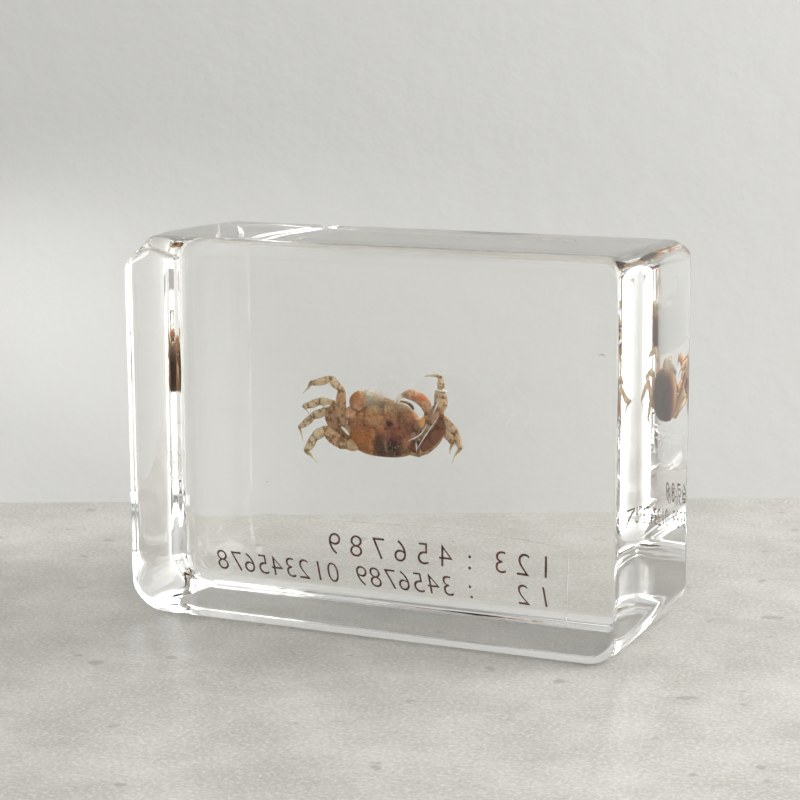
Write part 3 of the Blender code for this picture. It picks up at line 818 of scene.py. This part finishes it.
def addMembranes(shape):
    m = jointMembranes
    for name, leg in legRoutes.items():
        for index in range(1, 5):
            gape = m["gaping"].get((name, index))
            size = legJoints[index]["width"] * m["share"] * (gape or 1.0)
            sizes = (size * (m["ankle"] if index == 4 else 1.0), size)
            depth = legJoints[index]["thickness"] * m["depth"]
            addPillow(shape, leg["joints"][index], sizes, (depth, depth), fullness=(2.0, 0.5), around=18,
                      rings=6, pale=1.0 if gape else 0.0)
    # the pads are painted glints, whitened by the same pale value as the gaping joint's membrane
    for middle, sizes, turn in m["pads"]:
        addPillow(shape, middle, sizes, (m["padDepth"],) * 2, fullness=(2.0, 0.5), around=18, rings=6,
                  turn=turn, pale=1.0)


# air that stayed between the right legs, in the near-white painted-glint finish: the line that it follows
# and its half width
airFilms = {
    "lines": ((((4.3, -2.6, -1.2), (6.1, -2.65, -0.2), (7.4, -2.95, 1.5)), 0.1),
              (((5.45, -2.3, -2.5), (7.3, -2.8, 0.2), (9.3, -3.45, 2.85)), 0.08),
              (((5.4, -2.1, -1.2), (5.55, -2.2, -2.8)), 0.1),
              (((8.4, -3.5, 3.1), (9.5, -3.95, 5.3)), 0.12)),
    "thickness": 0.05, "profile": ((0, 0.5), (0.4, 1.0), (1, 0.4)),
}


def addAirFilms(shape):
    a = airFilms
    for points, width in a["lines"]:
        addLimb(shape, points, width, a["thickness"], a["profile"], around=10, steps=16, rounding=0.2)


# fine setae, grown by Geometry Nodes where a surface's "hair" value says

def hairTree():
    tree = bpy.data.node_groups.new("fineSetae", "GeometryNodeTree")
    tree.is_modifier = True
    for name, kind, value in (
            ("Skin", "Geometry", None), ("Hairs per mm2", "Float", 20.0), ("Length", "Float", 0.001),
            ("Slenderness", "Float", 0.04), ("Bend", "Float", 0.3), ("Lean", "Vector", (0, 0, 0)),
            ("Scatter", "Float", 0.4), ("Seed", "Int", 1), ("Finish", "Material", None)):
        socket = tree.interface.new_socket(name, in_out="INPUT", socket_type="NodeSocket" + kind)
        if value is not None:
            socket.default_value = value
    tree.interface.new_socket("Setae", in_out="OUTPUT", socket_type="NodeSocketGeometry")
    given = addNode(tree, "NodeGroupInput").outputs

    def node(kind, inputs, output=0, **settings):
        return addNode(tree, kind, inputs, **settings).outputs[output]

    def times(first, second):
        return maths(tree, "MULTIPLY", first, second)

    def randomNumber(low, high):
        values = {2: low, 3: high, "Seed": given["Seed"]}
        return node("FunctionNodeRandomValue", values, 1, data_type="FLOAT")

    fullTurn = 6.283
    thick = node("GeometryNodeInputNamedAttribute", {"Name": "hair"}, data_type="FLOAT")
    long = node("GeometryNodeInputNamedAttribute", {"Name": "hairLength"}, data_type="FLOAT")
    density = times(times(thick, given["Hairs per mm2"]), 1e6)
    roots = addNode(tree, "GeometryNodeDistributePointsOnFaces",
                    {"Mesh": given["Skin"], "Density": density, "Seed": given["Seed"]}).outputs
    jitter = node("FunctionNodeRandomValue", {0: (-1, -1, -1), 1: (1, 1, 1), "Seed": given["Seed"]},
                  data_type="FLOAT_VECTOR")
    spread = node("ShaderNodeVectorMath", {0: jitter, "Scale": given["Scatter"]}, operation="SCALE")
    heading = vectorMaths(tree, "ADD", vectorMaths(tree, "ADD", roots["Normal"], given["Lean"]), spread)
    turned = node("FunctionNodeAlignRotationToVector", {"Vector": heading}, axis="Z")
    roll = node("ShaderNodeCombineXYZ", {2: randomNumber(0.0, fullTurn)})
    rolled = node("FunctionNodeEulerToRotation", {0: roll})
    turned = node("FunctionNodeRotateRotation", {0: turned, 1: rolled}, rotation_space="LOCAL")
    cone = node("GeometryNodeMeshCone",
                {"Vertices": 3, "Side Segments": 4, "Radius Bottom": given["Slenderness"],
                 "Radius Top": times(given["Slenderness"], 0.15), "Depth": 1.0})
    height = node("ShaderNodeSeparateXYZ", {0: node("GeometryNodeInputPosition", {})}, 2)
    bow = node("ShaderNodeCombineXYZ", {0: times(times(height, height), given["Bend"])})
    hair = node("GeometryNodeSetPosition", {"Geometry": cone, "Offset": bow})
    size = times(times(long, given["Length"]), randomNumber(0.45, 1.15))
    placed = node("GeometryNodeInstanceOnPoints",
                  {"Points": roots["Points"], "Instance": hair, "Rotation": turned, "Scale": size})
    real = node("GeometryNodeRealizeInstances", {0: placed})
    done = node("GeometryNodeSetMaterial", {"Geometry": real, "Material": given["Finish"]})
    tree.links.new(done, addNode(tree, "NodeGroupOutput").inputs[0])
    return tree


def growSetae(name, skin, settings, finish):
    # hairs on a copy of the skin, turned to a plain mesh
    helper = linkObject(name, skin.copy())
    modifier = helper.modifiers.new("setae", "NODES")
    modifier.node_group = setaeTree
    values = dict(settings, Finish=finish)
    for item in setaeTree.interface.items_tree:
        if item.in_out == "INPUT" and item.name in values:
            modifier[item.identifier] = values[item.name]
    ready = helper.evaluated_get(bpy.context.evaluated_depsgraph_get())
    mesh = bpy.data.meshes.new_from_object(ready)
    mesh.name = name
    bpy.data.objects.remove(helper, do_unlink=True)
    return mesh


fringe = {
    "y": -1.6, "tuftSize": (0.5, 0.35), "tuftDepth": 0.3,
    # middle of each tuft and the length of its hairs
    "tufts": ((-2.4, 3.3, 1.3), (-2.0, 3.7, 1.8), (-1.5, 3.8, 1.9), (-1.0, 3.8, 1.7), (-0.5, 3.6, 1.5),
              (0.1, 3.5, 1.2), (0.7, 3.5, 1.0), (1.3, 3.5, 0.9), (1.9, 3.4, 0.8), (2.5, 3.3, 0.8),
              (3.0, 3.0, 0.7)),
    "setae": {"Hairs per mm2": 110.0, "Length": 1.0 * mm, "Slenderness": 0.014, "Bend": 0.35,
              "Lean": (0.0, -0.25, 1.6), "Scatter": 0.55, "Seed": 5},
}
mouthSetae = {"Hairs per mm2": 13.0, "Length": 0.6 * mm, "Slenderness": 0.022, "Bend": 0.4,
              "Lean": (0.0, -0.2, 1.0), "Scatter": 0.5, "Seed": 11}
legSetae = {"Hairs per mm2": 7.0, "Length": 0.62 * mm, "Slenderness": 0.035, "Bend": 0.3,
            "Lean": (0.0, 0.0, -0.3), "Scatter": 0.35, "Seed": 23}


def addFringeBed(shape):
    # the beds along the front edge that the tufts of the long fringe grow from
    f = fringe
    for x, z, length in f["tufts"]:
        addPillow(shape, (x, f["y"], z), f["tuftSize"], (f["tuftDepth"],) * 2, around=14, rings=5, hair=1.0,
                  hairLength=length)


# finishes of the crab

def crabCoords(tree):
    # object coordinates in mm from the middle of the crab's body
    away = [-v for v in crabPlace]
    values = {"Vector": objectCoords(tree), "Location": away, "Scale": (1000, 1000, 1000)}
    return addNode(tree, "ShaderNodeMapping", values).outputs["Vector"]


def addStainsAndHighlights(tree, coords, colour, tintSpots, ragged):
    # soft-edged patches, both stained spots and painted highlights: middle (x, z), half sizes, colour and
    # strength
    for (x, z), (sx, sz), spotColour, strength in tintSpots:
        near = vectorMaths(tree, "SUBTRACT", coords, (x, 0, z))
        near = vectorMaths(tree, "MULTIPLY", near, (1 / sx, 0, 1 / sz))
        far = addNode(tree, "ShaderNodeVectorMath", {0: near}, operation="LENGTH").outputs["Value"]
        far = maths(tree, "ADD", far, ragged)
        colour = mixColours(tree, ramp(tree, far, 0.75, 1.55, strength, 0.0), colour, spotColour)
    return colour


bodyStainsAndHighlights = (
    ((-3.4, -1.8), (2.4, 1.7), "#C67C44", 0.75), ((-3.0, 0.8), (2.0, 1.3), "#A87450", 0.5),
    ((-1.3, 1.9), (1.6, 1.3), "#DDA878", 0.6), ((1.9, 2.1), (1.5, 1.1), "#CB9A70", 0.55),
    ((2.1, -1.9), (1.25, 1.4), "#2C1B17", 0.97), ((-0.1, -2.1), (0.85, 1.2), "#452E27", 0.9),
    ((2.6, 0.3), (2.2, 1.7), "#95594A", 0.7), ((4.2, -2.4), (1.5, 1.0), "#A87A5C", 0.55),
    ((0.8, -3.5), (2.0, 0.5), "#4C362E", 0.85), ((0.85, -2.2), (0.15, 1.1), "#A08474", 0.6),
    ((1.5, 1.0), (0.48, 0.36), "#3A2018", 0.95), ((-4.2, 1.2), (1.2, 0.22), "#84543A", 0.5),
    # painted highlights: the small pale orange spot at (-1.7, 2.4) and the pale band along the front edge
    # at (0.4, 3.5); the other patches are the shell's own tones and the dark organs
    ((-1.7, 2.4), (0.55, 0.4), "#EDB87C", 0.7), ((0.4, 3.5), (3.4, 0.8), "#D8C4A2", 0.6),
    ((3.4, 2.4), (1.8, 1.0), "#8E6C4E", 0.6), ((4.6, 0.6), (0.9, 1.2), "#7E5644", 0.75),
)

# dried carapace: leathery, slightly see-through, orange brown with dark organs showing; the back is painted
# dark as shade on the side away from the light
driedCarapace, tree, shader = newMaterial("driedCarapace", (0.35, (1.0, 0.45, 0.2), 0.0009), Roughness=0.42,
                                          IOR=1.12)
coords = crabCoords(tree)
mottle = speckle(tree, coords, 0.9, 6.0, 0.7)
fine = speckle(tree, coords, 4.0, 5.0, 0.7)
ragged = maths(tree, "MULTIPLY", maths(tree, "ADD", mottle, fine), 0.5)
ragged = ramp(tree, ragged, 0.35, 0.65, -0.42, 0.42)
base = tints(tree, "#AC6F48", (mottle, 0.38, 0.62, 1.0, "#DA9E6B"))
base = addStainsAndHighlights(tree, coords, base, bodyStainsAndHighlights, ragged)
# painted shade: the carapace darkens towards its back (+Y), the side away from the light
farSideShade = addNode(tree, "ShaderNodeSeparateXYZ", {0: coords}).outputs[1]
base = tints(tree, base, (fine, 0.49, 0.64, 0.55, "#64402D"), (fine, 0.45, 0.32, 0.4, "#E0B98C"),
             (attribute(tree, "edge"), 0.93, 1.0, 0.35, "#D8BC92"),
             (farSideShade, -0.4, 1.2, 0.7, "#6B452F"), (farSideShade, 0.5, 2.2, 0.85, "#30251F"))
paint(tree, shader, base)
addBump(tree, shader, fine, 0.5, 0.00012)

# leg shell: thin tan chitin that light passes through, with dark blotches, margins painted darker as shade
# along the edges, and pale ends
legShell, tree, shader = newMaterial("mottledLegShell", (0.3, (1.0, 0.7, 0.4), 0.0006), Roughness=0.4,
                                     IOR=1.04, Transmission_Weight=0.3)
coords = crabCoords(tree)
blotch = speckle(tree, coords, 1.25, 5.0, 0.62)
fine = speckle(tree, coords, 5.0, 4.0, 0.7)
joint, along, across = (attribute(tree, name) for name in ("joint", "along", "across"))
tone = attribute(tree, "tone")
# painted shade: the legs' side margins are darkened, as a backlit shell looks darker along its edges
marginShade = maths(tree, "ABSOLUTE", across)
ends = maths(tree, "ABSOLUTE", maths(tree, "SUBTRACT", along, 0.5))
base = tints(tree, "#F2C898", (joint, 0.9, 2.1, 1.0, "#FFE6BC"), (blotch, 0.47, 0.36, 0.6, "#FFFAE4"))
base = mixColours(tree, tone, base, "#AE765C")
base = tints(tree, base, (blotch, 0.5, 0.62, 0.75, "#6E4A2D"), (marginShade, 0.78, 1.0, 0.5, "#5E3E28"),
             (ends, 0.36, 0.46, 0.55, "#6A412C"))
tip = tints(tree, "#D2B48A", (along, 0.1, 0.7, 1.0, "#FBF3DC"))
base = tints(tree, base, (joint, 3.6, 3.9, 1.0, tip), (fine, 0.54, 0.68, 0.4, "#5C3E2A"))
paint(tree, shader, base)
addBump(tree, shader, fine, 0.4, 0.0001)

# the first patch, along the right palm's arch, is a painted highlight; the others are stained spots
clawStainsAndHighlight = (((6.3, 5.0), (1.0, 0.35), "#DC7E58", 0.75), ((6.8, 1.7), (0.7, 0.9), "#FFC080", 0.95),
              ((-3.5, 4.4), (0.7, 0.7), "#C88450", 0.75), ((7.2, 2.9), (0.3, 0.25), "#5A3A28", 0.75),
              ((-4.2, 1.1), (1.0, 0.4), "#9C6448", 0.6), ((5.2, 0.7), (0.9, 0.8), "#9A6A50", 0.7))

# claw shell: harder and more orange, a painted red-orange highlight along the right palm's arch, and pale
# fingertips
clawShell, tree, shader = newMaterial("orangeClawShell", (0.35, (1.0, 0.5, 0.25), 0.0007), Roughness=0.3,
                                      IOR=1.1)
coords = crabCoords(tree)
blotch = speckle(tree, coords, 1.3, 5.0, 0.65)
fine = speckle(tree, coords, 5.0, 4.0, 0.7)
ragged = ramp(tree, fine, 0.25, 0.75, -0.35, 0.35)
base = tints(tree, "#C28F66", (blotch, 0.38, 0.62, 1.0, "#E6C09A"))
base = addStainsAndHighlights(tree, coords, base, clawStainsAndHighlight, ragged)
tip = tints(tree, "#D8C4A4", (attribute(tree, "along"), 0.1, 0.6, 1.0, "#FFFBEE"))
base = tints(tree, base, (attribute(tree, "joint"), 2.6, 2.9, 1.0, tip), (fine, 0.52, 0.68, 0.4, "#8A5A3E"))
paint(tree, shader, base)
addBump(tree, shader, fine, 0.35, 0.0001)

# joint membrane: parchment-pale dried skin, stained tan in most joints
membrane, tree, shader = newMaterial("dryJointMembrane", (0.3, (1.0, 0.9, 0.7), 0.0004), Roughness=0.5,
                                     IOR=1.05)
crease = speckle(tree, crabCoords(tree), 6.0, 3.0)
base = tints(tree, "#B38A62", (crease, 0.35, 0.65, 1.0, "#D9B98E"))
# the pale value whitens the gaping joint's membrane, and the pads beside the joints as painted glints
paint(tree, shader, mixColours(tree, attribute(tree, "pale"), base, "#FFF8E6"))
addBump(tree, shader, crease, 0.4, 0.0001)

# eyes: stalk like the shell, the eye itself a dull blue grey
driedEye, tree, shader = newMaterial("driedEye", Roughness=0.3, IOR=1.15)
grain = speckle(tree, crabCoords(tree), 8.0, 3.0)
paint(tree, shader, tints(tree, "#A88A66", (attribute(tree, "along"), 0.64, 0.74, 1.0, "#5C5C58"),
                          (grain, 0.45, 0.7, 0.4, "#B9B2A6")))
addBump(tree, shader, grain, 0.3, 0.0001)

# setae: straw-coloured hair, nearly white on the left of the mouth and browner on the right
setaeFinish, tree, shader = newMaterial("strawSetae", Roughness=0.6, IOR=1.05, Subsurface_Weight=0.2,
                                        Subsurface_Scale=0.0003)
coords = crabCoords(tree)
sideways = addNode(tree, "ShaderNodeSeparateXYZ", {0: coords}).outputs[0]
paint(tree, shader, tints(tree, "#EBD9B6", (speckle(tree, coords, 2.2, 3.0), 0.35, 0.65, 1.0, "#FFFFF2"),
                          (sideways, -1.5, 0.6, 0.65, "#BC9264")))

print("crab")
crab = {}
for name, build, finish in (
        ("crabBody", addCrabBody, driedCarapace), ("crabMouthparts", addMouthParts, driedCarapace),
        ("crabTailFlap", addTailFlap, driedCarapace), ("crabEyes", addEyes, driedEye),
        ("crabLegs", addLegs, legShell), ("crabClaws", addClaws, clawShell),
        ("crabJointMembranes", addMembranes, membrane), ("trappedAir", addAirFilms, airGlintFinish)):
    crab[name] = newPiece(name, crabMesh(name, build), finish, "crab_shell", "crab")

print("setae")
setaeTree = hairTree()
for name, skin, settings in (("crabFringe", crabMesh("fringeBed", addFringeBed), fringe["setae"]),
                             ("crabMouthSetae", crab["crabMouthparts"].data, mouthSetae),
                             ("crabLegSetae", crab["crabLegs"].data, legSetae)):
    newPiece(name, growSetae(name, skin, settings, setaeFinish), setaeFinish, "crab_shell", "crab")


# stage, light and camera

viewPoint = {"azimuth": 25.1, "elevation": 10.2, "roll": -0.35, "distance": 327.0,
             "target": (-0.3, 0.0, 31.35), "lens": 103.05, "sensor": 36.0, "clip": (0.01, 20.0)}
# the block's underside lies wet on the floor, a little below its level, so it shows no mirror image
stageSizes = {"floor": 3.0, "floorLevel": 0.01, "wall": 3.0, "wallDistance": 74.0}
room = {"colour": "#F6F6F4", "strength": 0.34}
tracing = {"max_bounces": 20, "transmission_bounces": 20, "glossy_bounces": 20, "diffuse_bounces": 6,
           "caustics_refractive": True, "caustics_reflective": True}
# each light in metres: to the picture's right, away from the camera, up; size and watts; where it says
# nothing else it aims at the block's middle
blockMiddle = (0.0, 0.0, 0.03)
lights = {
    "windowRight": {"place": (0.36, -0.15, 0.235), "aim": (0.0, -0.28, 0.2), "size": (0.56, 0.46),
                    "watts": 3.5},
    "lowSunRight": {"place": (0.9, -0.12, 0.30), "size": (0.16, 0.16), "watts": 3.6},
    "windowLeft": {"place": (-0.34, -0.10, 0.30), "size": (0.36, 0.3), "watts": 0.1},
    "frontFill": {"place": (0.3, -0.9, 0.4), "size": (0.6, 0.5), "watts": 2.6},
    "ceiling": {"place": (0.05, -0.4, 0.7), "size": (0.9, 0.9), "watts": 1.9},
}
# soft pools of light on the wall, to the left of the block and behind it, with their cones in degrees
wallGlows = {
    "glowLeft": {"place": (-0.19, -0.12, 0.13), "aim": (-0.062, 0.074, 0.004), "cone": 24.0, "watts": 1.15},
    "glowBehind": {"place": (-0.26, -0.01, 0.10), "aim": (0.0, 0.074, 0.022), "cone": 18.0, "watts": 1.2},
}


def viewDirection():
    azimuth, elevation = math.radians(viewPoint["azimuth"]), math.radians(viewPoint["elevation"])
    return Vector((-math.sin(azimuth) * math.cos(elevation), math.cos(azimuth) * math.cos(elevation),
                   -math.sin(elevation)))


def flatDirection():
    return Vector((viewDirection().x, viewDirection().y, 0)).normalized()


def makeCamera():
    data = bpy.data.cameras.new("camera")
    data.sensor_width = viewPoint["sensor"]
    data.lens = viewPoint["lens"]
    data.clip_start, data.clip_end = viewPoint["clip"]
    camera = linkObject("camera", data)
    look = viewDirection()
    camera.location = Vector(viewPoint["target"]) * mm - look * viewPoint["distance"] * mm
    camera.rotation_mode = "QUATERNION"
    roll = Quaternion((0, 0, 1), math.radians(viewPoint["roll"]))
    camera.rotation_quaternion = look.to_track_quat("-Z", "Y") @ roll
    bpy.context.scene.camera = camera


def makePlane(name, size, place, material):
    half = size / 2
    corners = [place @ Vector((half * x, half * y, 0)) for x, y in ((-1, -1), (1, -1), (1, 1), (-1, 1))]
    mesh = bpy.data.meshes.new(name)
    mesh.from_pydata(corners, [], [(0, 1, 2, 3)])
    mesh.materials.append(material)
    linkObject(name, mesh)


def addLight(name, values):
    # places are read along the picture: right, away, up
    ahead = flatDirection()
    right = Vector((ahead.y, -ahead.x, 0))

    def spot(place):
        return right * place[0] + ahead * place[1] + Vector((0, 0, place[2]))

    if "cone" in values:
        data = bpy.data.lights.new(name, "SPOT")
        data.spot_size = math.radians(values["cone"])
        data.spot_blend = 1.0
    else:
        data = bpy.data.lights.new(name, "AREA")
        data.shape = "RECTANGLE"
        data.size, data.size_y = values["size"]
    data.energy = values["watts"]
    lamp = linkObject(name, data)
    lamp.location = spot(values["place"])
    aim = spot(values.get("aim", blockMiddle))
    lamp.rotation_euler = (aim - lamp.location).to_track_quat("-Z", "Y").to_euler()
    lamp.visible_camera = False


# light microcement: fine grey mottle with paler grit and a few dark pits
microcement, tree, shader = newMaterial("paleMicrocement", Roughness=0.42)
coords = objectCoords(tree)
clouds = speckle(tree, coords, 45.0, 8.0, 0.72)
grit = speckle(tree, coords, 1700.0, 3.0, 0.7)
pits = speckle(tree, coords, 170.0, 2.0, 0.5)
paint(tree, shader, tints(
    tree, "#A2A099", (clouds, 0.32, 0.68, 1.0, "#BBB9B3"), (grit, 0.5, 0.66, 0.5, "#D6D4CC"),
    (grit, 0.48, 0.36, 0.35, "#8C8981"), (pits, 0.68, 0.73, 0.45, "#6F6D68")))
addBump(tree, shader, grit, 0.12, 0.0002)

# wall paint rolled over plaster: soft orange peel, seen from its front only
wallPaint, tree, shader = newMaterial("rolledWallPaint", Base_Color=toLinear("#BDBDBB"), Roughness=0.85)
addBump(tree, shader, speckle(tree, objectCoords(tree), 160.0, 3.0), 0.12, 0.0012)
clear = addNode(tree, "ShaderNodeBsdfTransparent").outputs["BSDF"]
behind = addNode(tree, "ShaderNodeNewGeometry").outputs["Backfacing"]
cover = addNode(tree, "ShaderNodeMixShader", {0: behind, 1: shader.outputs["BSDF"], 2: clear})
tree.links.new(cover.outputs["Shader"], tree.nodes["Material Output"].inputs["Surface"])

print("stage")
floorPlace = Matrix.Translation((0, 0, stageSizes["floorLevel"] * mm))
makePlane("floor", stageSizes["floor"], floorPlace, microcement)
upright = Matrix.Rotation(math.radians(90), 4, "X")
wallTurn = Matrix.Rotation(math.radians(viewPoint["azimuth"]), 4, "Z") @ upright
wallPlace = Matrix.Translation(flatDirection() * stageSizes["wallDistance"] * mm)
makePlane("wall", stageSizes["wall"], wallPlace @ wallTurn, wallPaint)
makeCamera()
for name, values in (lights | wallGlows).items():
    addLight(name, values)
world = bpy.data.worlds.new("softRoom")
world.use_nodes = True
sky = world.node_tree.nodes["Background"].inputs
sky["Color"].default_value = toLinear(room["colour"])
sky["Strength"].default_value = room["strength"]
bpy.context.scene.world = world
bpy.context.scene.view_settings.view_transform = "Standard"
for setting, value in tracing.items():
    setattr(bpy.context.scene.cycles, setting, value)
